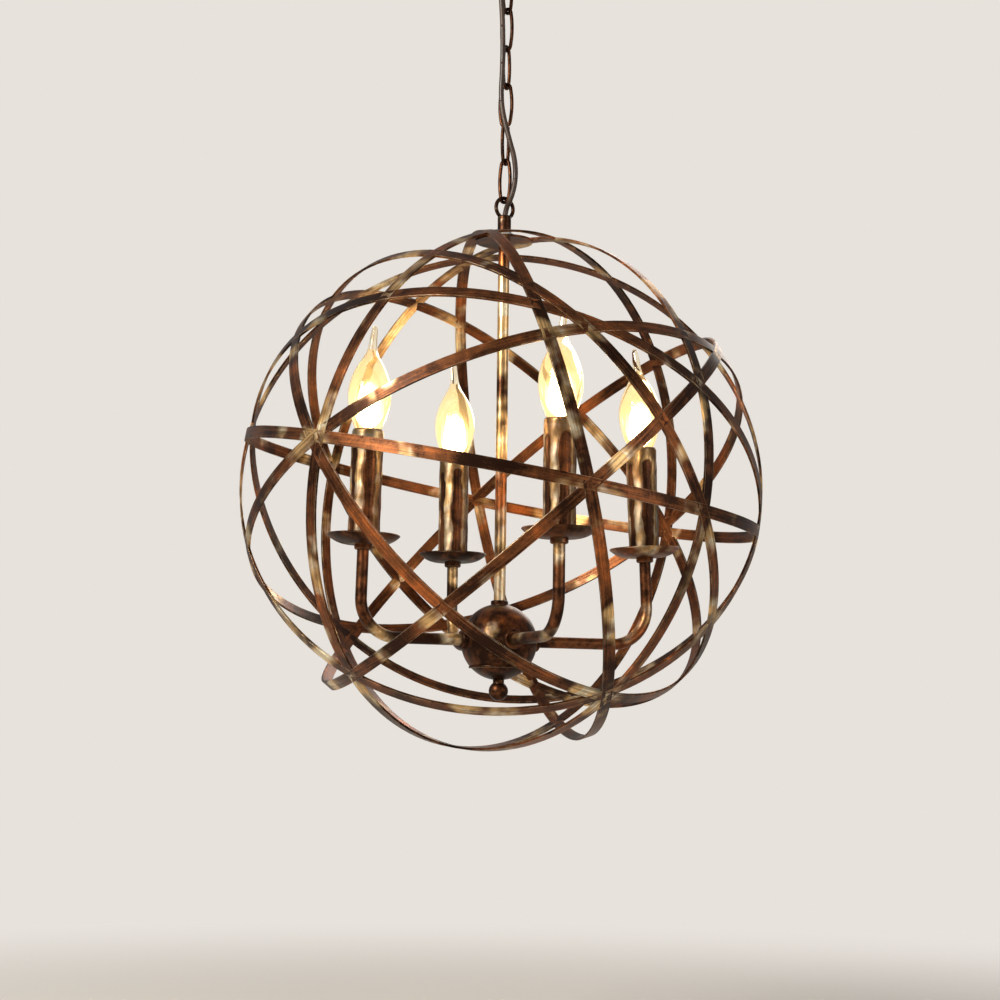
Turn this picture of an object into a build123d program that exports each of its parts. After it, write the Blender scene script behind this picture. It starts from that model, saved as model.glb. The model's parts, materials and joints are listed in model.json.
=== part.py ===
from build123d import *
from math import asin, cos, hypot, pi, radians, sin, tan
import os

"""Orb chandelier: a cage of ten flat metal bands round a four-arm candle cluster, on a short chain.

Millimetres, +Z up. The origin is the middle of the ceiling plate's top face, where the lamp meets
the ceiling, so the whole lamp hangs below z = 0. +X is to the right and +Y away from a viewer who
faces the lamp as photographed.
"""

# ---- driving dimensions ---------------------------------------------------------------------
ORB_DIAMETER = 450.0
BAND_WIDTH = 10.0
BAND_THICKNESS = 2.0

ARM_COUNT = 4
ARM_BEARINGS = (19.6, 109.7, 201.5, 291.6)  # degrees from +X towards +Y
ARM_REACHES = (135.9, 129.3, 124.0, 129.0)  # from the rod's axis to each dish's middle
CANDLE_LEANS = (2.5, 0.0, 1.3, 0.0)  # degrees off upright, towards the rod
ARM_TUBE_DIAMETER = 10.0
ARM_BEND = 32.0

ROD_DIAMETER = 10.0
HUB_DIAMETER = 65.4
FINIAL_DIAMETER = 16.6
TUBE_WALL = 1.0

CANDLE_DIAMETER = 27.5
CANDLE_TOP = 45.0  # heights here are from the orb's centre
DISH_DIAMETER = 62.0
DISH_RIM = -45.0
DISH_DEPTH = 7.5
SHEET = 1.2  # wall of the spun and pressed sheet pieces

GLASS_WALL = 0.8
CAP_DIAMETER = 14.0  # a small candle bulb's screw cap

LINK_COUNT = 6
LINK_WIRE = 3.2
LINK_LENGTH = 38.0  # between the wire's centres
LINK_WIDTH = 11.8
LINK_END_RADIUS = 4.4
LOOP_WIRE = 3.4
LOOP_DIAMETER = 18.1  # between the wire's centres
LINK_GAP = 0.3  # play between one link and the next
LINK_TURNS = (50, -40, 62, -28, 62, -40)  # bearing of each link's flat, top to bottom
CANOPY_LOOP_TURN = -40
ORB_LOOP_TURN = 35

COLLAR_DIAMETER = 12.0
COLLAR_LENGTH = 15.5
COLLAR_TO_LOOP = 22.5  # from the collar's foot to the loop's centre
NIPPLE_DIAMETER = 8.0
NIPPLE_BORE = 5.4
NUT_FLATS = 13.0
NUT_HEIGHT = 5.0

CANOPY_DIAMETER = 120.0
CANOPY_DEPTH = 27.2
CEILING_PLATE = (104.0, 22.0, 2.5)
SLOT_SPACING = 82.0
SLOT_LENGTH = 14.0
SLOT_WIDTH = 4.5

CORD_DIAMETER = 4.6

# ---- the hanging order, top to bottom ----------------------------------------------------------
ORB_RADIUS = ORB_DIAMETER / 2
BAND_INNER = ORB_RADIUS - BAND_THICKNESS
LOOP_RADIUS = LOOP_DIAMETER / 2
HOOKED = (LINK_WIRE + LOOP_WIRE) / 2 + LINK_GAP
PITCH = LINK_LENGTH - LINK_WIRE - LINK_GAP
CANOPY_LOOP_Z = -CANOPY_DEPTH - COLLAR_TO_LOOP
FIRST_LINK_TOP = CANOPY_LOOP_Z - LOOP_RADIUS + HOOKED
LAST_LINK_BOTTOM = FIRST_LINK_TOP - LINK_LENGTH - (LINK_COUNT - 1) * PITCH
ORB_LOOP_Z = LAST_LINK_BOTTOM + HOOKED - LOOP_RADIUS
PLATE_TOP = BAND_INNER  # the crown plate lies under the bands
COLLAR_FOOT = PLATE_TOP + NUT_HEIGHT
ORB_Z = ORB_LOOP_Z - COLLAR_TO_LOOP - COLLAR_FOOT

# ---- heights inside the orb, from its centre ------------------------------------------------------
CROWN_PLATE_RADIUS = 25.0
ROD_TOP = PLATE_TOP - BAND_THICKNESS - 0.1
HUB_Z = -131.0
HUB_RADIUS = HUB_DIAMETER / 2
HUB_SEAM = -21.0  # below the hub's centre
HUB_WALL = 1.8
ARM_Z = -130.0
ARM_FOOT = 27.0  # from the rod's axis, inside the hub
ROD_BOTTOM = HUB_Z - HUB_RADIUS + 3.2
FINIAL_Z = HUB_Z - HUB_RADIUS - 1.0 - FINIAL_DIAMETER / 2
DISH_FLOOR = DISH_RIM - DISH_DEPTH
ARM_TOP = DISH_FLOOR + SHEET + 9  # above the dish, inside the candle
HOLDER_TOP = CANDLE_TOP - 9
CAP_LENGTH = 25.0
CAP_TOP = CANDLE_TOP - 8
CAP_PLAY = 0.3
CAP_WALL = 0.6

# Each band: its name, the tilt of its plane off level, the bearing it tilts towards, how far its
# plane stands off the orb's centre, and how far, and at which angle round it, it springs out of
# that plane. Degrees and millimetres.
BANDS = (
    ("band_01_level", 10.5, -14, 3, 1, -90),
    ("band_02_front_low_left", 54.5, -40, 5, 0, 0),
    ("band_03_rising_right", 44, -163, -20, 5, -30),
    ("band_04_upright_side", 77, 10.5, 23, 2, 60),
    ("band_05_front_high", 30.5, 130.5, 2, 4, -40),
    ("band_06_high_wide", 45, 75, -14, 18, 20),
    ("band_07_falling_right", 55, 40, 3, 3, -55),
    ("band_08_upright_left", 80.5, 137, -8, 2, -55),
    ("band_09_upright_right", 85, -133, 0, 2, 65),
    ("band_10_back_high", 68, -91, 28, 7, -90),
)
BAND_POINTS = 24  # points round each edge of a band

# The arched channels between a candle's drips: bearing, width and how far below the rim each starts.
DRIP_CHANNELS = (
    (287, 11.5, 11),
    (215, 8.5, 14),
    (348, 8, 19),
    (42, 10, 12),
    (100, 9, 22),
    (155, 8, 15),
)
DRIP_DEPTH = 0.9

# The cord beside the chain, from inside the upper collar to inside the lower one.
CORD_ROUTE = (
    (0, 0, -33),
    (0, 0, -46.3),
    (-8.4, -9, -55.5),
    (-6, -10, -73.5),
    (-3.6, -9.8, -108.5),
    (-3.2, -10, -143),
    (-4.6, -9.9, -172),
    (-2.6, -10.4, -189),
    (3.6, -11, -213),
    (8.2, -9.5, -228),
    (9.6, -7.2, -245),
    (6.4, -9.2, -262.5),
    (0, 0, -273.5),
    (0, 0, -287),
)
CORD_TIGHT_BEND = 9.0  # where it turns into a collar


def tube(outer, inner, low, high):
    """A round tube on the Z axis."""
    height = high - low
    solid = Pos(0, 0, low) * Cylinder(outer, height, align=(Align.CENTER, Align.CENTER, Align.MIN))
    bore = Pos(0, 0, low) * Cylinder(inner, height, align=(Align.CENTER, Align.CENTER, Align.MIN))
    return solid - bore


def rod(radius, low, high):
    """A plain round bar on the Z axis."""
    return Pos(0, 0, low) * Cylinder(radius, high - low, align=(Align.CENTER, Align.CENTER, Align.MIN))


def turned(*lines):
    """A solid of revolution about Z from lines and arcs drawn in radius and height."""
    return revolve(Plane.XZ * make_face(lines), Axis.Z)


def hex_nut(low, high):
    """A hexagon nut on the Z axis."""
    blank = extrude(RegularPolygon(NUT_FLATS / 2, 6, major_radius=False), high - low)
    return Pos(0, 0, low) * blank - rod(NIPPLE_DIAMETER / 2, low - 1, high + 1)


def in_orb(solid):
    """From the orb's centre to the lamp's frame."""
    return Pos(0, 0, ORB_Z) * solid


def on_arm(solid, index):
    """From the upright line through a dish's middle, at the orb's centre height, to arm number index."""
    return Pos(0, 0, ORB_Z) * Rot(0, 0, ARM_BEARINGS[index]) * Pos(ARM_REACHES[index], 0, 0) * solid


def on_candle(solid, index):
    """From a candle's own leaning axis, which crosses its arm's line at the dish, to arm number index."""
    lean = Pos(0, 0, DISH_FLOOR) * Rot(0, -CANDLE_LEANS[index], 0) * Pos(0, 0, -DISH_FLOOR)
    return on_arm(lean * solid, index)


# ---- ceiling fitting -----------------------------------------------------------------------------
def ceiling_plate():
    """The strap that is screwed to the ceiling, with a slot at each end and a tapped middle."""
    length, width, thick = CEILING_PLATE
    plate = Pos(0, 0, -thick / 2) * Box(length, width, thick)
    plate = fillet(plate.edges().filter_by(Axis.Z), 5)
    slot = extrude(SlotOverall(SLOT_LENGTH, SLOT_WIDTH), 2 * thick, both=True)
    for side in (-1, 1):
        plate -= Pos(side * SLOT_SPACING / 2, 0, 0) * slot
    return plate - rod(NIPPLE_DIAMETER / 2, -2 * thick, thick)


def canopy():
    """The spun cup that covers the ceiling plate."""
    rim = CANOPY_DIAMETER / 2
    foot = 13.0
    straight = 6.0
    outer = [
        Line((rim, 0), (rim, -straight)),
        ThreePointArc((rim, -straight), (rim * 0.74, -CANOPY_DEPTH * 0.74), (foot, -CANOPY_DEPTH)),
        Line((foot, -CANOPY_DEPTH), (NIPPLE_DIAMETER / 2 + 0.1, -CANOPY_DEPTH)),
    ]
    inner = [
        Line((NIPPLE_DIAMETER / 2 + 0.1, -CANOPY_DEPTH), (NIPPLE_DIAMETER / 2 + 0.1, SHEET - CANOPY_DEPTH)),
        Line((NIPPLE_DIAMETER / 2 + 0.1, SHEET - CANOPY_DEPTH), (foot, SHEET - CANOPY_DEPTH)),
        ThreePointArc(
            (foot, SHEET - CANOPY_DEPTH),
            (rim * 0.74 - SHEET * 0.7, SHEET * 0.8 - CANOPY_DEPTH * 0.74),
            (rim - SHEET, -straight),
        ),
        Line((rim - SHEET, -straight), (rim - SHEET, 0)),
        Line((rim - SHEET, 0), (rim, 0)),
    ]
    return turned(*outer, *inner)


def nipple(low, high):
    """A hollow threaded tube, drawn plain."""
    return tube(NIPPLE_DIAMETER / 2, NIPPLE_BORE / 2, low, high)


def loop_fitting(turn):
    """A ring on a screwed collar: the collar's foot is at height 0 and the ring stands above it."""
    ring = Pos(0, 0, COLLAR_TO_LOOP) * Rot(0, 0, turn) * Rot(90, 0, 0) * Torus(LOOP_RADIUS, LOOP_WIRE / 2)
    collar = rod(COLLAR_DIAMETER / 2, 0, COLLAR_LENGTH)
    collar = chamfer(collar.edges(), 1)
    body = ring + collar
    body -= rod(NIPPLE_DIAMETER / 2, -1, 9)
    return body - rod(NIPPLE_BORE / 2, 0, COLLAR_LENGTH + 1)


# ---- chain and cord --------------------------------------------------------------------------------
def chain_link(index):
    """One link: a round wire bent to an oval of four arcs, hooked through its neighbours."""
    middle = FIRST_LINK_TOP - index * PITCH - LINK_LENGTH / 2
    half = LINK_LENGTH / 2
    side = LINK_WIDTH / 2
    end = half - LINK_END_RADIUS  # height of the end arc's centre
    side_radius = (side**2 + end**2 - LINK_END_RADIUS**2) / (LINK_WIDTH - 2 * LINK_END_RADIUS)
    slope = asin(end / (side_radius - LINK_END_RADIUS))

    def on_side(angle):
        return (side - side_radius * (1 - cos(angle)), 0, side_radius * sin(angle))

    x, _, z = on_side(slope)
    path = Wire(
        [
            ThreePointArc((side, 0, 0), on_side(slope / 2), (x, 0, z)),
            ThreePointArc((x, 0, z), (0, 0, half), (-x, 0, z)),
            ThreePointArc((-x, 0, z), (-side, 0, 0), (-x, 0, -z)),
            ThreePointArc((-x, 0, -z), (0, 0, -half), (x, 0, -z)),
            ThreePointArc((x, 0, -z), on_side(-slope / 2), (side, 0, 0)),
        ]
    )
    section = Plane(origin=(side, 0, 0), z_dir=(0, 0, 1)) * Circle(LINK_WIRE / 2)
    return Pos(0, 0, middle) * Rot(0, 0, LINK_TURNS[index]) * sweep(section, path)


def cord():
    """The supply cord that runs down beside the chain."""
    points = [Vector(*p) for p in CORD_ROUTE]
    radii = []
    for before, here, after in zip(points, points[1:], points[2:]):
        turn = radians((here - before).get_angle(after - here))
        shorter = min((here - before).length, (after - here).length)
        radius = 0.45 * shorter / tan(turn / 2)
        at_collar = hypot(here.X, here.Y) < 1
        radii.append(CORD_TIGHT_BEND if at_collar else radius)
    print("cord bend radii:", [round(r, 1) for r in radii])
    path = FilletPolyline(*points, radius=radii)
    section = Plane(origin=points[0], z_dir=(0, 0, -1)) * Circle(CORD_DIAMETER / 2)
    solid = sweep(section, path)
    expected = pi * (CORD_DIAMETER / 2) ** 2 * path.length
    print(f"cord length {path.length:.1f}, volume over section times length {solid.volume / expected:.4f}")
    return solid


# ---- cage ----------------------------------------------------------------------------------------
def band(tilt, turn, offset, spring, spring_at):
    """A flat metal hoop that lies on the orb, with its four edges as closed curves."""
    normal = Vector(0, 0, 1).rotate(Axis.Y, tilt).rotate(Axis.Z, turn)
    across = Vector(0, 1, 0).rotate(Axis.Z, turn)
    along = normal.cross(across)

    def edge(radius, side):
        points = []
        for step in range(BAND_POINTS):
            angle = 2 * pi * step / BAND_POINTS
            out_of_plane = offset + spring * cos(2 * (angle - radians(spring_at)))
            rise = (out_of_plane + side * BAND_WIDTH / 2) / ORB_RADIUS
            spoke = across * cos(angle) + along * sin(angle)
            points.append(spoke * (radius * cos(rise)) + normal * (radius * sin(rise)))
        return Edge.make_spline(points, periodic=True)

    corners = [edge(ORB_RADIUS, -1), edge(ORB_RADIUS, 1), edge(BAND_INNER, 1), edge(BAND_INNER, -1)]
    faces = [Face.make_surface_from_curves(corners[i - 1], corners[i]) for i in range(4)]
    return Solid(Shell(faces))


def crown_plate():
    """The small domed plate under the bands that the rod and the upper loop clamp."""
    shell = Sphere(BAND_INNER) - Sphere(BAND_INNER - BAND_THICKNESS)
    keep = rod(CROWN_PLATE_RADIUS, BAND_INNER - 10, BAND_INNER + 1)
    hole = rod(NIPPLE_DIAMETER / 2, BAND_INNER - 10, BAND_INNER + 1)
    return (shell & keep) - hole


def centre_rod():
    """The hollow rod from the crown plate down into the hub."""
    return tube(ROD_DIAMETER / 2, NIPPLE_DIAMETER / 2, ROD_BOTTOM, ROD_TOP)


# ---- hub -------------------------------------------------------------------------------------------
def hub_shell():
    """The hub's ball, hollow, with a hole for each arm and for the rod."""
    ball = Pos(0, 0, HUB_Z) * (Sphere(HUB_RADIUS) - Sphere(HUB_RADIUS - HUB_WALL))
    neck = rod(7.5, HUB_Z + HUB_RADIUS - 1.5, HUB_Z + HUB_RADIUS + 3)
    neck = fillet(neck.edges().group_by(Axis.Z)[-1], 1.5)
    ball = ball + neck - rod(ROD_DIAMETER / 2, HUB_Z, HUB_Z + HUB_RADIUS + 5)
    hole = Pos(0, 0, ARM_Z) * Rot(0, 90, 0) * rod(ARM_TUBE_DIAMETER / 2, 0, HUB_RADIUS + 5)
    for index in range(ARM_COUNT):
        ball -= Rot(0, 0, ARM_BEARINGS[index]) * hole
    return ball


def hub_body():
    """The hub above its seam."""
    return hub_shell() & (Pos(0, 0, HUB_Z + HUB_SEAM + 50) * Box(100, 100, 100))


def hub_cap():
    """The cap that closes the hub from below, with a fine lip at the seam."""
    cap = hub_shell() & (Pos(0, 0, HUB_Z + HUB_SEAM - 50) * Box(100, 100, 100))
    seam_radius = (HUB_RADIUS**2 - HUB_SEAM**2) ** 0.5
    lip = tube(seam_radius + 0.7, seam_radius - 1.5, HUB_Z + HUB_SEAM - 1.6, HUB_Z + HUB_SEAM)
    return cap + lip - rod(NIPPLE_DIAMETER / 2, HUB_Z - HUB_RADIUS - 1, HUB_Z)


def finial():
    """The ball under the hub, on a stud that screws up into the rod."""
    ball = Pos(0, 0, FINIAL_Z) * Sphere(FINIAL_DIAMETER / 2)
    hole_rim = HUB_Z - (HUB_RADIUS**2 - NIPPLE_DIAMETER**2 / 4) ** 0.5
    neck = rod(4.8, FINIAL_Z, hole_rim)
    stud = rod(NIPPLE_DIAMETER / 2, FINIAL_Z, ROD_BOTTOM + 12)
    return ball + neck + stud


# ---- arms and candles ------------------------------------------------------------------------------
def arm(index):
    """A bent tube from inside the hub, out and up to the candle, which it holds at its lean."""
    foot = ARM_FOOT - ARM_REACHES[index]
    lean = tan(radians(CANDLE_LEANS[index]))
    corner = ((DISH_FLOOR - ARM_Z) * lean, 0, ARM_Z)
    head = ((DISH_FLOOR - ARM_TOP) * lean, 0, ARM_TOP)
    path = FilletPolyline((foot, 0, ARM_Z), corner, head, radius=ARM_BEND)
    start = Plane(origin=(foot, 0, ARM_Z), z_dir=(1, 0, 0))
    radius = ARM_TUBE_DIAMETER / 2
    return sweep(start * Circle(radius), path) - sweep(start * Circle(radius - TUBE_WALL), path)


def arm_collar():
    """The round flange where an arm enters the hub, hollowed to sit on the ball."""
    blank = Rot(0, 90, 0) * rod(8.5, HUB_RADIUS - 3, HUB_RADIUS + 3)
    blank = fillet(blank.edges().group_by(Axis.X)[-1], 2)
    blank -= Rot(0, 90, 0) * rod(ARM_TUBE_DIAMETER / 2, 0, HUB_RADIUS + 5)
    return Pos(0, 0, ARM_Z) * blank - Pos(0, 0, HUB_Z) * Sphere(HUB_RADIUS)


def arm_collars():
    """One flange for each arm."""
    return Compound([in_orb(Rot(0, 0, ARM_BEARINGS[i]) * arm_collar()).solid() for i in range(ARM_COUNT)])


def dish_nuts():
    """The round nut under each drip dish."""
    nut = tube(7.5, ARM_TUBE_DIAMETER / 2, DISH_FLOOR - 4.5, DISH_FLOOR)
    nut = chamfer(nut.edges().group_by(Axis.Z)[0], 1)
    return Compound([on_candle(nut, i).solid() for i in range(ARM_COUNT)])


def drip_dish():
    """The shallow round dish under a candle."""
    rim = DISH_DIAMETER / 2
    hole = ARM_TUBE_DIAMETER / 2
    flat = 16.0
    shoulder = (rim * 0.8, DISH_FLOOR + DISH_DEPTH * 0.36)
    return turned(
        Line((hole, DISH_FLOOR), (flat, DISH_FLOOR)),
        ThreePointArc((flat, DISH_FLOOR), shoulder, (rim, DISH_RIM)),
        Line((rim, DISH_RIM), (rim - 0.5, DISH_RIM + 0.9)),
        Line((rim - 0.5, DISH_RIM + 0.9), (rim - SHEET, DISH_RIM + 0.7)),
        ThreePointArc(
            (rim - SHEET, DISH_RIM + 0.7), (shoulder[0] - 0.4, shoulder[1] + SHEET), (flat, DISH_FLOOR + SHEET)
        ),
        Line((flat, DISH_FLOOR + SHEET), (hole, DISH_FLOOR + SHEET)),
        Line((hole, DISH_FLOOR + SHEET), (hole, DISH_FLOOR)),
    )


def candle_sleeve(index):
    """The candle tube, with wax drips as the metal left between arched channels."""
    outer = CANDLE_DIAMETER / 2
    low = DISH_FLOOR + SHEET
    sleeve = tube(outer, outer - 1.9, low, CANDLE_TOP)
    sleeve = fillet(sleeve.edges().group_by(Axis.Z)[-1].sort_by(SortBy.LENGTH)[-1], 0.8)
    for bearing, width, drop in DRIP_CHANNELS:
        top = CANDLE_TOP - drop
        height = top - low - 3
        arch = Pos(outer, 0, top) * Rot(0, 90, 0) * Cylinder(width / 2, 2 * DRIP_DEPTH)
        slot = Pos(outer, 0, top - height / 2) * Box(2 * DRIP_DEPTH, width, height)
        sleeve -= Rot(0, 0, bearing - ARM_BEARINGS[index]) * (arch + slot)
    return sleeve


def lampholder():
    """The holder inside the candle, on top of the arm's tube."""
    shaft = tube(5.5, ARM_TUBE_DIAMETER / 2 - TUBE_WALL, ARM_TOP, 2)
    cup = rod(11.2, 2, HOLDER_TOP)
    cup -= rod(CAP_DIAMETER / 2 + CAP_PLAY, CAP_TOP - CAP_LENGTH - 1.5, HOLDER_TOP + 1)
    cup -= rod(ARM_TUBE_DIAMETER / 2 - TUBE_WALL, 1, 6)
    return shaft + cup


# ---- bulbs -----------------------------------------------------------------------------------------
# Height above the cap's top and radius, from the neck to the drawn-out tip.
BULB_PROFILE = ((0, 6.8), (4, 8.8), (8, 10.8), (19, 15.2), (29, 17.7), (38, 18.5), (49, 17.0), (60, 13.0))
BULB_TIP_PROFILE = ((70, 7.4), (77, 4.4), (85, 3.4), (92, 2.9), (96, 2.2), (97.5, 1.2))
GLASS_TOP = BULB_TIP_PROFILE[-1][0]
HOLLOW_TOP = 77  # the drawn-out tip is solid glass above this
TIP_BEND = 2.5  # how far the tip stands off the bulb's axis
TIP_BEARINGS = (180, 180, 0, 20)  # which way each bulb's tip bends, from +X


def bulb_glass(index):
    """The thin flame-shaped glass, its tip drawn out and bent a little."""

    def flame(thinner, top):
        sections = []
        for height, radius in BULB_PROFILE + BULB_TIP_PROFILE:
            bend = TIP_BEND * max(0, (height - 50) / (GLASS_TOP - 50)) ** 2
            if height <= top:
                sections.append(Pos(bend, 0, CAP_TOP + height) * Circle(radius - thinner))
        return loft(sections)

    glass = flame(0, GLASS_TOP) - flame(GLASS_WALL, HOLLOW_TOP)
    return Rot(0, 0, TIP_BEARINGS[index] - ARM_BEARINGS[index]) * glass


def bulb_cap():
    """The screw cap with its insulator and centre contact, turned as one piece."""
    low = CAP_TOP - CAP_LENGTH
    radius = CAP_DIAMETER / 2
    barrel = tube(radius, radius - CAP_WALL, low + 6, CAP_TOP)
    cone = turned(
        Line((0, low), (2.4, low)),
        Line((2.4, low), (2.4, low + 1.2)),
        Line((2.4, low + 1.2), (radius, low + 6)),
        Line((radius, low + 6), (radius, low + 7)),
        Line((radius, low + 7), (0, low + 7)),
        Line((0, low + 7), (0, low)),
    )
    return barrel + cone


def filament():
    """The glass stem with two upright filament sticks on its support wires."""
    stem = rod(3.2, CAP_TOP, CAP_TOP + 14)
    stem = fillet(stem.edges().group_by(Axis.Z)[-1], 1.5)
    foot = rod(CAP_DIAMETER / 2 - CAP_WALL, CAP_TOP - 2, CAP_TOP)
    sticks = foot + stem
    for side in (-1, 1):
        sticks += Pos(side * 3.0, 0, 0) * rod(0.9, CAP_TOP + 11, CAP_TOP + 46)
    bridge = Pos(0, 0, CAP_TOP + 46) * Rot(0, 90, 0) * Cylinder(0.6, 6)
    return sticks + bridge


def main():
    os.makedirs("parts", exist_ok=True)
    pieces = {
        "ceiling_plate": ceiling_plate(),
        "canopy": canopy(),
        "canopy_nipple": nipple(-CANOPY_DEPTH - 9, -0.5),
        "canopy_locknut": hex_nut(-CEILING_PLATE[2] - NUT_HEIGHT, -CEILING_PLATE[2]),
        "canopy_loop": Pos(0, 0, -CANOPY_DEPTH) * Rot(180, 0, 0) * loop_fitting(-CANOPY_LOOP_TURN),
        "supply_cord": cord(),
        "orb_loop": in_orb(Pos(0, 0, COLLAR_FOOT) * loop_fitting(ORB_LOOP_TURN)),
        "orb_nipple": in_orb(nipple(ROD_TOP - 15, COLLAR_FOOT + 9)),
        "orb_locknut": in_orb(hex_nut(PLATE_TOP, COLLAR_FOOT)),
        "crown_plate": in_orb(crown_plate()),
        "centre_rod": in_orb(centre_rod()),
        "hub_body": in_orb(hub_body()),
        "hub_cap": in_orb(hub_cap()),
        "hub_finial": in_orb(finial()),
        "arm_collars": arm_collars(),
        "dish_nuts": dish_nuts(),
    }
    for index in range(LINK_COUNT):
        pieces[f"chain_link_{index + 1}"] = chain_link(index)
    for name, *lay in BANDS:
        pieces[name] = in_orb(band(*lay))
    for index in range(ARM_COUNT):
        number = index + 1
        pieces[f"arm_{number}"] = on_arm(arm(index), index)
        pieces[f"drip_dish_{number}"] = on_candle(drip_dish(), index)
        pieces[f"candle_sleeve_{number}"] = on_candle(candle_sleeve(index), index)
        pieces[f"lampholder_{number}"] = on_candle(lampholder(), index)
        pieces[f"bulb_{number}_glass"] = on_candle(bulb_glass(index), index)
        pieces[f"bulb_{number}_cap"] = on_candle(bulb_cap(), index)
        pieces[f"bulb_{number}_filament"] = on_candle(filament(), index)
    for name, piece in pieces.items():
        export_step(piece, f"parts/{name}.step")


main()
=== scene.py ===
import json
from math import cos, exp, hypot, pi, radians, sin

import bpy
import numpy as np
from mathutils import Matrix, Vector


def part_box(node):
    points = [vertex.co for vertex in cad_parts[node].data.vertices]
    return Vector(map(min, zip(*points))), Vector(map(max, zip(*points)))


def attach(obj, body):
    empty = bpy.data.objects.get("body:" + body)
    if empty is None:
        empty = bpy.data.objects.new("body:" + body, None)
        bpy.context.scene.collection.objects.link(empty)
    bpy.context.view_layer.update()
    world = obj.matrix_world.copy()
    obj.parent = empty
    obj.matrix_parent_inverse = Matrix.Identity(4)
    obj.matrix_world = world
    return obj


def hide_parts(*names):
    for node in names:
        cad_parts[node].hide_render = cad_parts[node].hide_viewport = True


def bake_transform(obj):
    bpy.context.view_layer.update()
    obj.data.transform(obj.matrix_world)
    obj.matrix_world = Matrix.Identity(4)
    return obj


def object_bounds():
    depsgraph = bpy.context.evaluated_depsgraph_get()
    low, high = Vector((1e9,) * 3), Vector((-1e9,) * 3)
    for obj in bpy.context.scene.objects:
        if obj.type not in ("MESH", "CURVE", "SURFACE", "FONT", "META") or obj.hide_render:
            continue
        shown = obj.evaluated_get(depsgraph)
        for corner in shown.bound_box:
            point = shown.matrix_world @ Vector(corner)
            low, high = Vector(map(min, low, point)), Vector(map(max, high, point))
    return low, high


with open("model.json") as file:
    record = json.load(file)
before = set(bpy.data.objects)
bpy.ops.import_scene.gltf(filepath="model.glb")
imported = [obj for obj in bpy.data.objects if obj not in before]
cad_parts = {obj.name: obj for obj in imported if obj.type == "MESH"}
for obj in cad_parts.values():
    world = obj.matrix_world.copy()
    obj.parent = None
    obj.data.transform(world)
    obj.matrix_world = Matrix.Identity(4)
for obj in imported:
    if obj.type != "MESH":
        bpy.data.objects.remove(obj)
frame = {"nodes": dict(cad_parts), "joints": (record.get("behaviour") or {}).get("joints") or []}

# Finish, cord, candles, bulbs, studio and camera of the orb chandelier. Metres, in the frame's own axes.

CAD_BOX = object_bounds()
NODES = frame["nodes"]
BANDS = [name for name in sorted(NODES) if name.startswith("band_")]
ARMS = range(1, 5)
LINKS = range(1, 7)

# ---- places that the frame gives -----------------------------------------------------------------
BAND_LOW = Vector([min(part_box(name)[0][axis] for name in BANDS) for axis in range(3)])
BAND_HIGH = Vector([max(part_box(name)[1][axis] for name in BANDS) for axis in range(3)])
ORB_CENTRE = (BAND_LOW + BAND_HIGH) / 2
ORB_CENTRE.x = ORB_CENTRE.y = 0.0
CANDLE_RADIUS = 0.01375
CAP_BELOW_RIM = 0.008  # the bulb cap's top, below the candle's rim


def candle_axis(number):
    """The middle of a candle tube's foot, its length, and the direction it stands in."""
    draw = next(joint for joint in frame["joints"] if joint["name"] == f"bulb_{number}_draw")
    along = Vector(draw["axis"]).normalized()
    low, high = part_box(f"candle_sleeve_{number}")
    lean = hypot(along.x, along.y)
    length = (high.z - low.z - 2 * CANDLE_RADIUS * lean) / along.z
    return (low + high) / 2 - along * length / 2, length, along


def bulb_point(number, height):
    """A point on a bulb's axis, so high above its cap."""
    foot, length, along = candle_axis(number)
    return foot + along * (length - CAP_BELOW_RIM + height)


# ---- node helpers --------------------------------------------------------------------------------
def set_input(tree, socket, value):
    """Links a socket, or sets a plain value."""
    if isinstance(value, bpy.types.NodeSocket):
        tree.links.new(value, socket)
    else:
        socket.default_value = value


def add(tree, kind, inputs=(), **settings):
    """A new node with its settings and some of its inputs, by name or number."""
    made = tree.nodes.new("ShaderNode" + kind)
    for key, value in settings.items():
        setattr(made, key, value)
    for key, value in dict(inputs).items():
        set_input(tree, made.inputs[key], value)
    return made


def math(tree, operation, first, second=0.0):
    return add(tree, "Math", {0: first, 1: second}, operation=operation).outputs[0]


def vector_math(tree, operation, first, second=(0, 0, 0)):
    made = add(tree, "VectorMath", {0: first, 1: second}, operation=operation)
    gives_number = operation in ("DOT_PRODUCT", "LENGTH")
    return made.outputs["Value" if gives_number else "Vector"]


def weighted(tree, layers, shares):
    """The sum of some layers, each times its share."""
    total = math(tree, "MULTIPLY", layers[0], shares[0])
    for layer, share in zip(layers[1:], shares[1:]):
        total = math(tree, "ADD", total, math(tree, "MULTIPLY", layer, share))
    return total


def noise(tree, vector, scale, detail=4.0, rough=0.55, distortion=0.0):
    inputs = {
        "Vector": vector,
        "Scale": scale,
        "Detail": detail,
        "Roughness": rough,
        "Distortion": distortion,
    }
    return add(tree, "TexNoise", inputs).outputs["Fac"]


def smooth_step(tree, value, low, high):
    """0 below low, 1 above high and smooth between."""
    inputs = {"Value": value, "From Min": low, "From Max": high}
    return add(tree, "MapRange", inputs, interpolation_type="SMOOTHSTEP").outputs["Result"]


def ramp(tree, value, at_low, at_high, low=0.0, high=1.0):
    """at_low below low, at_high above high and straight between."""
    inputs = {"Value": value, "From Min": low, "From Max": high, "To Min": at_low, "To Max": at_high}
    return add(tree, "MapRange", inputs).outputs["Result"]


def mix_colour(tree, factor, first, second, blend="MIX"):
    made = add(tree, "Mix", data_type="RGBA", blend_type=blend)
    for socket, value in zip((made.inputs[0], made.inputs[6], made.inputs[7]), (factor, first, second)):
        set_input(tree, socket, value)
    return made.outputs[2]


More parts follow.
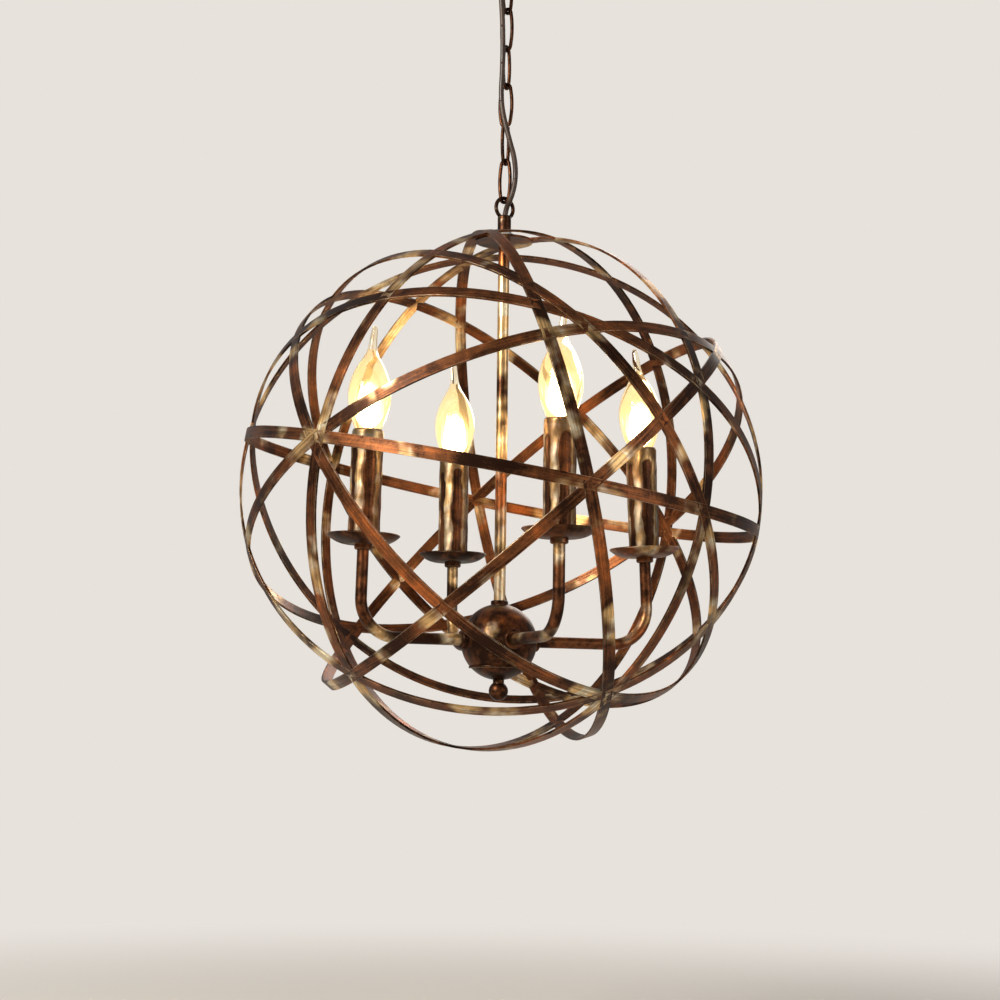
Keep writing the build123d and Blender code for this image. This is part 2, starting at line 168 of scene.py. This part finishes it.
def mix_shader(tree, factor, first, second):
    return add(tree, "MixShader", {0: factor, 1: first, 2: second}).outputs[0]


def colour(red, green, blue):
    return (red, green, blue, 1.0)


def new_material(name):
    """An empty node material with its output."""
    made = bpy.data.materials.new(name)
    made.use_nodes = True
    made.node_tree.nodes.clear()
    output = made.node_tree.nodes.new("ShaderNodeOutputMaterial")
    return made, made.node_tree, output


def finish_surface(tree, output, surface):
    """A Principled surface with these inputs, linked to the output."""
    tree.links.new(add(tree, "BsdfPrincipled", surface).outputs[0], output.inputs[0])


def object_coords(tree):
    return add(tree, "TexCoord").outputs["Object"]


# ---- coordinates that brushed streaks follow -----------------------------------------------------
ROUND_SCALE = 5.0  # of streaks along a hoop
ACROSS_SCALE = 700.0  # of streaks across its strip
UPRIGHT_SCALE = (500.0, 500.0, 16.0)
UNEVEN_SCALE = (150.0, 150.0, 150.0)


def hoop_frame(name):
    """The best plane through a hoop: its middle and three axes, the last square to the plane."""
    points = np.array([v.co for v in NODES[name].data.vertices])
    middle = points.mean(0)
    _, _, axes = np.linalg.svd(points - middle, full_matrices=False)
    return Vector(middle), [Vector(axis) for axis in axes]


def round_hoop(name):
    """Streaks that run round a hoop."""

    def build(tree):
        middle, (first, second, normal) = hoop_frame(name)
        local = vector_math(tree, "SUBTRACT", object_coords(tree), tuple(middle))
        across = vector_math(tree, "DOT_PRODUCT", local, tuple(normal))
        flat_x = vector_math(tree, "DOT_PRODUCT", local, tuple(first))
        flat_y = vector_math(tree, "DOT_PRODUCT", local, tuple(second))
        ring = add(tree, "CombineXYZ", {"X": flat_x, "Y": flat_y}).outputs[0]
        ring = vector_math(tree, "NORMALIZE", ring)
        ring = vector_math(tree, "MULTIPLY", ring, (ROUND_SCALE, ROUND_SCALE, 0.0))
        side = add(tree, "CombineXYZ", {"Z": math(tree, "MULTIPLY", across, ACROSS_SCALE)}).outputs[0]
        return vector_math(tree, "ADD", ring, side)

    return build


def upright(tree):
    """Streaks that run up and down."""
    return vector_math(tree, "MULTIPLY", object_coords(tree), UPRIGHT_SCALE)


def uneven(tree):
    """No streaks: a mottled finish."""
    return vector_math(tree, "MULTIPLY", object_coords(tree), UNEVEN_SCALE)


# ---- metal ---------------------------------------------------------------------------------------
DARK = colour(0.030, 0.011, 0.005)
BROWN = colour(0.170, 0.060, 0.022)
COPPER = colour(0.560, 0.150, 0.034)
# GOLD and CREAM are the pale patches: rubbed metal, and a painted highlight as well.
GOLD = colour(0.880, 0.560, 0.240)
CREAM = colour(0.980, 0.860, 0.600)

# Shifts of the patterns, so that no two pieces have the same wear and painted highlights.
PLACE_PER_SEED = (0.37, 0.19, 0.53)
STREAKS_PER_SEED = (1.7, 2.3, 0.9)
WEAR_AND_HIGHLIGHT_SHIFT = (3.1, 7.7, 1.9)

# Scales of the other noises, as shares of the mottle's.
BROAD_SCALE = 0.22
WEAR_AND_HIGHLIGHT_SCALE = 0.3
FINE_SCALE = 12

# Where each colour takes over from the one under it. A step is the noise at its start and at its end.
TONE_SHARES = (0.34, 0.26, 0.24, 0.16)  # of the broad, patch, streak and fine noise
BROWN_STEP = (0.44, 0.55)
COPPER_START = 0.58
COPPER_GAIN = 0.10  # by which the copper setting brings the start down
COPPER_SPAN = 0.13
# The pale patches, which are wear and a painted highlight as well.
WEAR_AND_HIGHLIGHT_STEP = (0.60, 0.74)
WEAR_AND_HIGHLIGHT_GAIN = 0.22  # by which the wear-and-highlight setting brings the step down
STREAK_STEP = (0.38, 0.62)
STREAK_FLOOR = 0.45  # what is left of a pale patch between two streaks
GOLD_STEP = (0.45, 0.6)
SPECK_STEP = (0.58, 0.70)
SPECK_DEPTH = 0.45

# Wear along the edges, which a softened normal finds; the pale edges are also a painted glint.
EDGE_RADIUS = 0.0006
EDGE_BEND_STEP = (0.02, 0.16)
EDGE_PATCH_STEP = (0.38, 0.58)
EDGE_WEAR_AND_GLINT = 0.6
# Pale patches on the raised wax drips: wear, and a painted highlight as well.
DRIP_WEAR_AND_HIGHLIGHT = 0.55

METAL_ROUGHNESS = 0.26
PATCH_ROUGHNESS = 0.20
SPECK_ROUGHNESS = 0.15
BUMP_SHARES = (0.4, 0.3)  # of the streak and the fine noise


def shifted(tree, place, seed, per_seed):
    """Coordinates moved along by a seed."""
    return vector_math(tree, "ADD", place, tuple(seed * step for step in per_seed))


def aged_metal(name, streaks, seed, wear_and_highlight_amount=0.5, copper=0.5, shade=1.0, mottle=60.0, relief=None):
    """Dark bronze paint over brushed metal, rubbed through to copper and gold in long soft patches; the
    pale gold and cream patches are also a painted highlight.

    relief is a mesh attribute that is 1 in the hollows, which stay dark and coppery; the raised drips get
    pale patches, which are wear and a painted highlight as well.
    """
    made, tree, output = new_material(name)
    place = shifted(tree, object_coords(tree), seed, PLACE_PER_SEED)
    brushed = shifted(tree, streaks(tree), seed, STREAKS_PER_SEED)

    broad = noise(tree, place, mottle * BROAD_SCALE, 2.0, 0.5)
    patch = noise(tree, place, mottle, 5.0, 0.6, 0.5)
    fine = noise(tree, place, mottle * FINE_SCALE, 3.0, 0.6)
    streak = noise(tree, brushed, 1.0, 3.0, 0.5)

    tone = weighted(tree, (broad, patch, streak, fine), TONE_SHARES)
    base = mix_colour(tree, smooth_step(tree, tone, *BROWN_STEP), DARK, BROWN)
    low = COPPER_START - COPPER_GAIN * copper
    base = mix_colour(tree, smooth_step(tree, tone, low, low + COPPER_SPAN), base, COPPER)

    # Pale gold and cream patches: rubbed-through wear, and a painted highlight as well.
    moved = vector_math(tree, "ADD", place, WEAR_AND_HIGHLIGHT_SHIFT)
    other = noise(tree, moved, mottle * WEAR_AND_HIGHLIGHT_SCALE, 3.0, 0.55)
    streaked = math(tree, "MULTIPLY", smooth_step(tree, streak, *STREAK_STEP), 1.0 - STREAK_FLOOR)
    streaked = math(tree, "ADD", STREAK_FLOOR, streaked)
    start, end = [bound - WEAR_AND_HIGHLIGHT_GAIN * wear_and_highlight_amount for bound in WEAR_AND_HIGHLIGHT_STEP]
    wear_and_highlight = math(tree, "MULTIPLY", smooth_step(tree, other, start, end), streaked)
    softened = add(tree, "Bevel", {"Radius": EDGE_RADIUS}, samples=4).outputs["Normal"]
    true_normal = add(tree, "NewGeometry").outputs["Normal"]
    # Pale edges: wear, and a painted glint as well.
    bent = math(tree, "SUBTRACT", 1.0, vector_math(tree, "DOT_PRODUCT", softened, true_normal))
    edge = smooth_step(tree, bent, *EDGE_BEND_STEP)
    edge = math(tree, "MULTIPLY", edge, smooth_step(tree, patch, *EDGE_PATCH_STEP))
    edge = math(tree, "MULTIPLY", edge, EDGE_WEAR_AND_GLINT)
    pale = math(tree, "MAXIMUM", wear_and_highlight, edge)
    if relief:
        hollow = add(tree, "Attribute", attribute_name=relief).outputs["Fac"]
        # The raised drips turn pale in patches, a painted highlight as well as wear; the hollows do not.
        pale = math(tree, "MAXIMUM", pale, math(tree, "MULTIPLY", patch, DRIP_WEAR_AND_HIGHLIGHT))
        pale = math(tree, "MULTIPLY", pale, math(tree, "SUBTRACT", 1.0, hollow))
    bright = mix_colour(tree, smooth_step(tree, patch, *GOLD_STEP), GOLD, CREAM)
    base = mix_colour(tree, pale, base, bright)
    specks = smooth_step(tree, fine, *SPECK_STEP)
    base = mix_colour(tree, math(tree, "MULTIPLY", specks, SPECK_DEPTH), base, DARK)
    base = mix_colour(tree, 1.0, base, colour(shade, shade, shade), "MULTIPLY")

    rough = math(tree, "ADD", math(tree, "MULTIPLY", patch, PATCH_ROUGHNESS), METAL_ROUGHNESS)
    rough = math(tree, "ADD", rough, math(tree, "MULTIPLY", specks, SPECK_ROUGHNESS))
    height = weighted(tree, (streak, fine), BUMP_SHARES)
    bump = add(tree, "Bump", {"Strength": 0.25, "Distance": 0.0003, "Height": height, "Normal": softened})
    surface = {
        "Base Color": base,
        "Metallic": 0.88,
        "Roughness": rough,
        "Normal": bump.outputs[0],
    }
    finish_surface(tree, output, surface)
    return made


def plain_metal(name, tint, dark, rough):
    """Plated metal with faint drawn lines and grime."""
    made, tree, output = new_material(name)
    place = object_coords(tree)
    grime = noise(tree, place, 90.0, 5.0, 0.6)
    lines = noise(tree, vector_math(tree, "MULTIPLY", place, (60.0, 60.0, 1500.0)), 1.0, 2.0)
    bump = add(tree, "Bump", {"Strength": 0.15, "Distance": 0.0002, "Height": lines})
    surface = {
        "Base Color": mix_colour(tree, smooth_step(tree, grime, 0.42, 0.66), tint, dark),
        "Metallic": 1.0,
        "Roughness": math(tree, "ADD", rough, math(tree, "MULTIPLY", grime, 0.2)),
        "Normal": bump.outputs[0],
    }
    finish_surface(tree, output, surface)
    return made


def moulded_plastic(name, tint, worn):
    """Fine-grained moulded plastic."""
    made, tree, output = new_material(name)
    place = object_coords(tree)
    grain = noise(tree, place, 2400.0, 2.0)
    cloud = noise(tree, place, 70.0, 4.0)
    bump = add(tree, "Bump", {"Strength": 0.2, "Distance": 0.0001, "Height": grain})
    surface = {
        "Base Color": mix_colour(tree, smooth_step(tree, cloud, 0.4, 0.7), tint, worn),
        "Roughness": math(tree, "ADD", 0.3, math(tree, "MULTIPLY", cloud, 0.3)),
        "Normal": bump.outputs[0],
    }
    finish_surface(tree, output, surface)
    return made


# ---- bulbs' glass and light ----------------------------------------------------------------------
GLOW_HOT = colour(1.0, 0.94, 0.76)
GLOW_WARM = colour(1.0, 0.66, 0.26)
GLOW_HEIGHT = 0.026  # of the glow's middle above the bulb's cap
GLOW_SPAN = (0.003, 0.0155)  # distances from the glow's middle between which it turns warm and thin
GLOW_SQUASH = 0.55  # of heights, in those distances
GLOW_STRENGTHS = (60.0, 0.9)
GLOW_THICKNESSES = (0.8, 0.10)

GLASS_TINTS = (colour(1.0, 0.92, 0.74), colour(1.0, 0.86, 0.60))
GLASS_GLOWS = (colour(1.0, 0.60, 0.20), colour(1.0, 0.74, 0.36))
GLASS_GLOW_SPAN = (0.014, 0.048)  # distances between which the light on the glass dies away
GLASS_GLOW_SQUASH = 0.8
GLASS_GLOW_STRENGTH = 0.22


def from_glow(tree, place, number, squash):
    """The distance from the middle of a bulb's glow, with heights squashed."""
    local = vector_math(tree, "SUBTRACT", place, tuple(bulb_point(number, GLOW_HEIGHT)))
    local = vector_math(tree, "MULTIPLY", local, (1.0, 1.0, squash))
    return vector_math(tree, "LENGTH", local)


def clear_glass(number):
    """Clear blown glass with faint waves, warm where the bulb's light fills it."""
    made, tree, output = new_material(f"bulb_{number}_clear_glass")
    place = object_coords(tree)
    wave = noise(tree, place, 45.0, 2.0)
    bump = add(tree, "Bump", {"Strength": 0.1, "Distance": 0.0004, "Height": wave})
    warmth = mix_colour(tree, smooth_step(tree, wave, 0.35, 0.65), *GLASS_TINTS)
    span = from_glow(tree, place, number, GLASS_GLOW_SQUASH)
    surface = {
        "Base Color": warmth,
        "Roughness": 0.02,
        "IOR": 1.3,
        "Transmission Weight": 1.0,
        "Emission Color": mix_colour(tree, wave, *GLASS_GLOWS),
        "Emission Strength": ramp(tree, span, GLASS_GLOW_STRENGTH, 0.0, *GLASS_GLOW_SPAN),
        "Normal": bump.outputs[0],
    }
    glass = add(tree, "BsdfPrincipled", surface).outputs[0]
    clear = add(tree, "BsdfTransparent", {"Color": warmth}).outputs[0]
    shadow = add(tree, "LightPath").outputs["Is Shadow Ray"]
    tree.links.new(mix_shader(tree, shadow, glass, clear), output.inputs[0])
    return made


def bulb_glow(number):
    """The light inside a lit bulb: hot at its middle, warm and thin towards the glass."""
    made, tree, output = new_material(f"bulb_{number}_glow")
    span = from_glow(tree, object_coords(tree), number, GLOW_SQUASH)
    away = smooth_step(tree, span, *GLOW_SPAN)
    tint = mix_colour(tree, away, GLOW_HOT, GLOW_WARM)
    strength = ramp(tree, away, *GLOW_STRENGTHS)
    light = add(tree, "Emission", {"Color": tint, "Strength": strength}).outputs[0]
    clear = add(tree, "BsdfTransparent").outputs[0]
    tree.links.new(mix_shader(tree, ramp(tree, away, *GLOW_THICKNESSES), clear, light), output.inputs[0])
    return made


def lit_filament():
    """Glowing filament sticks on a glass stem."""
    made, tree, output = new_material("lit_filament")
    grain = noise(tree, object_coords(tree), 900.0, 2.0)
    tint = mix_colour(tree, grain, GLOW_HOT, colour(1.0, 0.8, 0.45))
    surface = {"Base Color": tint, "Roughness": 0.4, "Emission Color": tint, "Emission Strength": 18.0}
    finish_surface(tree, output, surface)
    return made


# ---- mesh helpers --------------------------------------------------------------------------------
def new_object(name, points, faces, material, body=None):
    """A smooth mesh object, which rides on a body if one is named."""
    mesh = bpy.data.meshes.new(name)
    mesh.from_pydata([tuple(p) for p in points], [], faces)
    mesh.validate()
    mesh.shade_smooth()
    mesh.materials.append(material)
    made = bpy.data.objects.new(name, mesh)
    bpy.context.scene.collection.objects.link(made)
    if body:
        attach(made, body)
    return made


def grid_faces(rows, columns, start=0):
    """Quads of a grid whose columns close into a ring."""
    faces = []
    for row in range(rows - 1):
        for column in range(columns):
            here = start + row * columns + column
            beside = start + row * columns + (column + 1) % columns
            faces.append((here, beside, beside + columns, here + columns))
    return faces


def end_faces(rows, columns, start=0):
    """The two flat ends of such a grid."""
    last = start + (rows - 1) * columns
    return [tuple(reversed(range(start, start + columns))), tuple(range(last, last + columns))]


# ---- supply cord ---------------------------------------------------------------------------------
CORD_DIAMETER = 0.0046
CORD_ROUTE = (
    (0, 0, -0.033),
    (0, 0, -0.0463),
    (-0.0084, -0.009, -0.0555),
    (-0.006, -0.01, -0.0735),
    (-0.0036, -0.0098, -0.1085),
    (-0.0032, -0.01, -0.143),
    (-0.0046, -0.0099, -0.172),
    (-0.0026, -0.0104, -0.189),
    (0.0036, -0.011, -0.213),
    (0.0082, -0.0095, -0.228),
    (0.0096, -0.0072, -0.245),
    (0.0064, -0.0092, -0.2625),
    (0, 0, -0.2735),
    (0, 0, -0.287),
)
CORD_SIDES = 20


def cord_line():
    """Points along the cord's smooth centre-line."""
    curve = bpy.data.curves.new("cord_line", "CURVE")
    curve.dimensions = "3D"
    curve.resolution_u = 24
    spline = curve.splines.new("NURBS")
    spline.points.add(len(CORD_ROUTE) - 1)
    for point, place in zip(spline.points, CORD_ROUTE):
        point.co = (*place, 1.0)
    spline.order_u = 3
    spline.use_endpoint_u = True
    carrier = bpy.data.objects.new("cord_line", curve)
    bpy.context.scene.collection.objects.link(carrier)
    mesh = bpy.data.meshes.new_from_object(carrier)
    line = [vertex.co.copy() for vertex in mesh.vertices]
    bpy.data.objects.remove(carrier)
    bpy.data.meshes.remove(mesh)
    return line


def cord_rings(line):
    """A ring of points round each point of the line, carried along it without twist."""
    rings = []
    side = Vector((1, 0, 0))
    for index, here in enumerate(line):
        ahead = line[min(index + 1, len(line) - 1)]
        behind = line[max(index - 1, 0)]
        along = (ahead - behind).normalized()
        side = (side - along * side.dot(along)).normalized()
        other = along.cross(side)
        ring = []
        for step in range(CORD_SIDES):
            angle = 2 * pi * step / CORD_SIDES
            ring.append(here + (side * cos(angle) + other * sin(angle)) * CORD_DIAMETER / 2)
        rings.append(ring)
    return rings


def cord_stretch(name, rings, material):
    """One stretch of the cord as a closed tube."""
    points = [point for ring in rings for point in ring]
    faces = grid_faces(len(rings), CORD_SIDES) + end_faces(len(rings), CORD_SIDES)
    return new_object(name, points, faces, material)


def cord_cuts(line):
    """Where the line is cut: at its ends and beside the middle of each link."""
    cuts = [0]
    for number in LINKS:
        low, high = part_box(f"chain_link_{number}")
        middle = (low.z + high.z) / 2
        cuts.append(min(range(len(line)), key=lambda index: abs(line[index].z - middle)))
    return cuts + [len(line) - 1]


def build_cord():
    """The cord, in one stretch for each joint of the chain."""
    line = cord_line()
    rings = cord_rings(line)
    cuts = cord_cuts(line)
    jacket = moulded_plastic("cord_jacket", colour(0.030, 0.016, 0.010), colour(0.060, 0.034, 0.020))
    swings = [joint for joint in frame["joints"] if joint["name"].startswith("chain_swing")]
    for index, swing in enumerate(swings):
        first, last = cuts[index], cuts[index + 1]
        stretch = cord_stretch(f"supply_cord_{index + 1}", rings[first : last + 1], jacket)
        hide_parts("supply_cord")
        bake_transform(stretch)


# ---- candles -------------------------------------------------------------------------------------
# Arched channels between the wax drips: bearing in degrees, width, and how far below the rim they start,
# both in millimetres.
CHANNELS = ((287, 11.5, 11), (215, 8.5, 14), (348, 8, 19), (42, 10, 12), (100, 9, 22), (155, 8, 15))
MM_PER_METRE = 1000
CHANNEL_EDGE = 0.0011  # width of the slope between a drip and a channel
LONG_WANDER = 0.0005  # sideways, of a channel's middle
SHORT_WANDER = 0.0003
SWELL = 0.16  # share by which a channel widens and narrows
# Waves down the candle, in radians per metre.
LONG_WAVE = 190
SHORT_WAVE = 520
SWELL_WAVE = 120
LUMP_WAVE = 260
DRIP_RELIEF = 0.0011
DRIP_INSET = 0.0002  # of the drips' faces from the tube's own radius
DRIP_LUMP = 0.00016
RIM_INSET = 0.0007
RIM_ROUNDING = 0.0011
CANDLE_WALL = 0.0019
CANDLE_COLUMNS = 144
CANDLE_ROWS = 110
INNER_LEVELS = (1.0, 0.75, 0.0)  # rows of points down the inside, as shares of the length


def channel_depth(bearing, drop, seed):
    """0 on a drip and 1 in a channel between drips; drop is the distance below the rim."""
    deepest = 0.0
    for index, (centre, width, top) in enumerate(CHANNELS):
        wander = LONG_WANDER * sin(drop * LONG_WAVE + seed * 2.1 + index)
        wander += SHORT_WANDER * sin(drop * SHORT_WAVE + index * 1.7 + seed)
        aside = radians((bearing - centre + 180) % 360 - 180) * CANDLE_RADIUS + wander
        half = width / (2 * MM_PER_METRE) * (1 + SWELL * sin(drop * SWELL_WAVE + index * 2 + seed))
        below = drop - top / MM_PER_METRE
        if below < half:
            inside = half - hypot(aside, half - below)
        else:
            inside = half - abs(aside)
        deepest = max(deepest, min(1.0, max(0.0, inside / CHANNEL_EDGE)))
    return deepest * deepest * (3 - 2 * deepest)


def build_candle(number, material):
    """A candle tube with wax drips in relief."""
    foot, length, along = candle_axis(number)
    turn = Vector((0, 0, 1)).rotation_difference(along)

    def place(out, bearing, height):
        return foot + turn @ Vector((out * cos(radians(bearing)), out * sin(radians(bearing)), height))

    bearings = [360 * column / CANDLE_COLUMNS for column in range(CANDLE_COLUMNS)]
    points = []
    hollows = []
    for row in range(CANDLE_ROWS + 1):
        drop = length * (1 - row / CANDLE_ROWS)
        rim = exp(-((drop / RIM_ROUNDING) ** 2)) * RIM_INSET
        for bearing in bearings:
            depth = channel_depth(bearing, drop, number)
            lumps = DRIP_LUMP * sin(drop * LUMP_WAVE + bearing * 0.11 + number) * (1 - depth)
            out = CANDLE_RADIUS - DRIP_INSET - DRIP_RELIEF * depth - rim + lumps
            points.append(place(out, bearing, length - drop))
            hollows.append(depth)
    for level in INNER_LEVELS:
        for bearing in bearings:
            points.append(place(CANDLE_RADIUS - CANDLE_WALL, bearing, length * level))
            hollows.append(1.0)
    rows = CANDLE_ROWS + 1 + len(INNER_LEVELS)
    faces = grid_faces(rows, CANDLE_COLUMNS)
    last = (rows - 1) * CANDLE_COLUMNS
    for column in range(CANDLE_COLUMNS):
        beside = (column + 1) % CANDLE_COLUMNS
        faces.append((last + column, last + beside, beside, column))
    made = new_object(f"candle_{number}", points, faces, material, "orb")
    made.data.attributes.new("hollow", "FLOAT", "POINT").data.foreach_set("value", hollows)
    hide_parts(f"candle_sleeve_{number}")


# ---- glow in the bulbs ---------------------------------------------------------------------------
# Half width and half height of each shell.
GLOW_SHELLS = ((0.0040, 0.014), (0.0070, 0.018), (0.0100, 0.022), (0.0130, 0.026))
GLOW_TIP_STRETCH = 1.35
GLOW_FOOT_STRETCH = 0.62
GLOW_SLIMNESS = 1.15
GLOW_END = 0.02  # share of a shell's half turn that each flat end takes
GLOW_COLUMNS = 32
GLOW_ROWS = 24


def build_glow(number):
    """Nested flame-shaped shells of light round the filament."""
    middle = bulb_point(number, GLOW_HEIGHT)
    rows = GLOW_ROWS + 1
    points = []
    faces = []
    for wide, tall in GLOW_SHELLS:
        start = len(points)
        for row in range(rows):
            slope = pi * (GLOW_END + (1 - 2 * GLOW_END) * row / GLOW_ROWS)
            stretch = GLOW_TIP_STRETCH if slope > pi / 2 else GLOW_FOOT_STRETCH
            rise = -cos(slope) * tall * stretch
            out = wide * sin(slope) ** GLOW_SLIMNESS
            for column in range(GLOW_COLUMNS):
                angle = 2 * pi * column / GLOW_COLUMNS
                points.append(middle + Vector((out * cos(angle), out * sin(angle), rise)))
        faces += grid_faces(rows, GLOW_COLUMNS, start) + end_faces(rows, GLOW_COLUMNS, start)
    body = f"bulb_{number}"
    new_object(f"{body}_light", points, faces, bulb_glow(number), body)


def build_candles():
    for number in ARMS:
        metal = aged_metal(f"candle_{number}", upright, 50 + number, wear_and_highlight_amount=0.3, copper=0.6, relief="hollow")
        build_candle(number, metal)
        build_glow(number)


# ---- finish of the carried-over nodes ------------------------------------------------------------
def paint(name, material):
    """Gives a node of the frame its finish."""
    mesh = NODES[name].data
    mesh.materials.clear()
    mesh.materials.append(material)


def paint_frame():
    for index, name in enumerate(BANDS):
        paint(name, aged_metal(name, round_hoop(name), index + 1, wear_and_highlight_amount=0.3, copper=0.5))
    for number in ARMS:
        paint(f"arm_{number}", aged_metal(f"arm_{number}", uneven, 20 + number, wear_and_highlight_amount=0.35, copper=0.4))
        dish = f"drip_dish_{number}"
        paint(dish, aged_metal(dish, uneven, 30 + number, wear_and_highlight_amount=0.1, copper=0.3, shade=0.8))
    # The rod is paler and more coppery than the other metal: a painted light, for the glow of the bulbs
    # on it.
    paint("centre_rod", aged_metal("centre_rod", upright, 15, wear_and_highlight_amount=1.1, copper=0.9, shade=1.1))
    paint("crown_plate", aged_metal("crown_plate", uneven, 16, wear_and_highlight_amount=0.2, copper=0.6, shade=0.8))
    for name, seed in (("hub_body", 17), ("hub_cap", 18)):
        paint(name, aged_metal(name, uneven, seed, wear_and_highlight_amount=0.1, copper=0.5, shade=0.8, mottle=85.0))
    for name, seed in (("hub_finial", 19), ("arm_collars", 40), ("dish_nuts", 41), ("canopy", 42)):
        paint(name, aged_metal(name, uneven, seed, wear_and_highlight_amount=0.3, copper=0.3, shade=0.75))
    chain = aged_metal("dark_chain", uneven, 43, wear_and_highlight_amount=0.05, copper=0.0, shade=0.5, mottle=220.0)
    for name in [f"chain_link_{number}" for number in LINKS] + ["canopy_loop", "orb_loop"]:
        paint(name, chain)
    zinc = plain_metal("zinc_plate", colour(0.62, 0.61, 0.58), colour(0.35, 0.34, 0.32), 0.28)
    for name in ("ceiling_plate", "canopy_nipple", "canopy_locknut", "orb_nipple", "orb_locknut"):
        paint(name, zinc)
    holder = moulded_plastic("holder_plastic", colour(0.02, 0.018, 0.016), colour(0.045, 0.04, 0.036))
    screw_cap = plain_metal("screw_cap", colour(0.75, 0.72, 0.66), colour(0.45, 0.42, 0.38), 0.2)
    sticks = lit_filament()
    for number in ARMS:
        paint(f"lampholder_{number}", holder)
        paint(f"bulb_{number}_cap", screw_cap)
        paint(f"bulb_{number}_glass", clear_glass(number))
        paint(f"bulb_{number}_filament", sticks)


# ---- studio --------------------------------------------------------------------------------------
BACKGROUND = colour(0.80, 0.76, 0.71)
AMBIENT = colour(0.95, 0.93, 0.9)
AMBIENT_STRENGTH = 0.32
FLOOR_TONES = (colour(0.62, 0.59, 0.55), colour(0.64, 0.61, 0.57))
FLOOR_DROP = 0.26  # below the orb
FLOOR_FADE = (0.35, 1.4)  # distances from the lamp's axis between which the floor melts away
FLOOR_RINGS = (0.5, 1.0, 2.0, 6.0, 20.0, 60.0)
FLOOR_SIDES = 64
# Name, place, size, power in watts and tint.
LIGHTS = (
    ("key", (-1.5, -1.5, 0.5), 0.9, 70.0, (1.0, 0.95, 0.86)),
    ("fill", (1.9, -1.2, -0.3), 1.4, 10.0, (1.0, 0.95, 0.90)),
    ("back", (0.6, 1.9, 0.4), 1.2, 12.0, (1.0, 0.94, 0.88)),
)


def seen_rays(tree):
    """1 for rays that show the surroundings themselves, and 0 for rays that light the lamp."""
    path = add(tree, "LightPath")
    return math(tree, "MAXIMUM", path.outputs["Is Camera Ray"], path.outputs["Is Transmission Ray"])


def floor_material():
    """A pale floor that turns into the backdrop far from the lamp."""
    made, tree, output = new_material("studio_floor")
    place = object_coords(tree)
    base = mix_colour(tree, noise(tree, place, 1.5, 2.0), *FLOOR_TONES)
    surface = add(tree, "BsdfPrincipled", {"Base Color": base, "Roughness": 0.9}).outputs[0]
    backdrop = add(tree, "Emission", {"Color": BACKGROUND, "Strength": 1.0}).outputs[0]
    span = vector_math(tree, "LENGTH", vector_math(tree, "MULTIPLY", place, (1.0, 1.0, 0.0)))
    melt = math(tree, "MULTIPLY", smooth_step(tree, span, *FLOOR_FADE), seen_rays(tree))
    tree.links.new(mix_shader(tree, melt, surface, backdrop), output.inputs[0])
    return made


def build_floor():
    """A round floor under the lamp, wide enough to reach past every view."""
    level = CAD_BOX[0].z - FLOOR_DROP
    points = [(0, 0, level)]
    for reach in FLOOR_RINGS:
        for step in range(FLOOR_SIDES):
            angle = 2 * pi * step / FLOOR_SIDES
            points.append((reach * cos(angle), reach * sin(angle), level))
    faces = [(0, 1 + step, 1 + (step + 1) % FLOOR_SIDES) for step in range(FLOOR_SIDES)]
    faces += grid_faces(len(FLOOR_RINGS), FLOOR_SIDES, 1)
    mesh = bpy.data.meshes.new("studio_floor")
    mesh.from_pydata(points, [], faces)
    mesh.materials.append(floor_material())
    floor = bpy.data.objects.new("studio_floor", mesh)
    bpy.context.scene.collection.objects.link(floor)


def build_world():
    """A plain backdrop for rays that show it, and soft light for the rest."""
    world = bpy.data.worlds.new("studio")
    world.use_nodes = True
    bpy.context.scene.world = world
    tree = world.node_tree
    tree.nodes.clear()
    output = tree.nodes.new("ShaderNodeOutputWorld")
    ambient = add(tree, "Background", {"Color": AMBIENT, "Strength": AMBIENT_STRENGTH}).outputs[0]
    backdrop = add(tree, "Background", {"Color": BACKGROUND, "Strength": 1.0}).outputs[0]
    tree.links.new(mix_shader(tree, seen_rays(tree), ambient, backdrop), output.inputs[0])


def build_lights():
    """Round area lamps that face the orb."""
    for name, place, size, power, tint in LIGHTS:
        lamp = bpy.data.lights.new(name, "AREA")
        lamp.shape = "DISK"
        lamp.size = size
        lamp.energy = power
        lamp.color = tint
        made = bpy.data.objects.new(name, lamp)
        made.location = place
        made.rotation_mode = "QUATERNION"
        made.rotation_quaternion = (ORB_CENTRE - Vector(place)).to_track_quat("-Z", "Y")
        bpy.context.scene.collection.objects.link(made)


# ---- camera --------------------------------------------------------------------------------------
CAMERA_FROM_ORB = Vector((-0.00072, -1.78695, -0.2165))
CAMERA_TILT_UP = 6.65
CAMERA_ROLL = 0.75
LENS_MM = 74.76
SENSOR_WIDTH_MM = 36.0


def build_camera():
    """The photograph's viewpoint: a little below the orb's middle, looking slightly up."""
    camera = bpy.data.cameras.new("camera")
    camera.sensor_width = SENSOR_WIDTH_MM
    camera.lens = LENS_MM
    camera.dof.use_dof = False
    made = bpy.data.objects.new("camera", camera)
    forward = Vector((0, cos(radians(CAMERA_TILT_UP)), sin(radians(CAMERA_TILT_UP))))
    right = Vector((1, 0, 0))
    up = right.cross(forward)
    roll = Matrix.Rotation(radians(-CAMERA_ROLL), 3, forward)
    axes = Matrix((roll @ right, roll @ up, -forward)).transposed()
    made.matrix_world = Matrix.Translation(ORB_CENTRE + CAMERA_FROM_ORB) @ axes.to_4x4()
    bpy.context.scene.collection.objects.link(made)
    bpy.context.scene.camera = made


build_camera()
build_cord()
paint_frame()
build_candles()
build_floor()
build_world()
build_lights()
bpy.context.scene.view_settings.view_transform = "Standard"
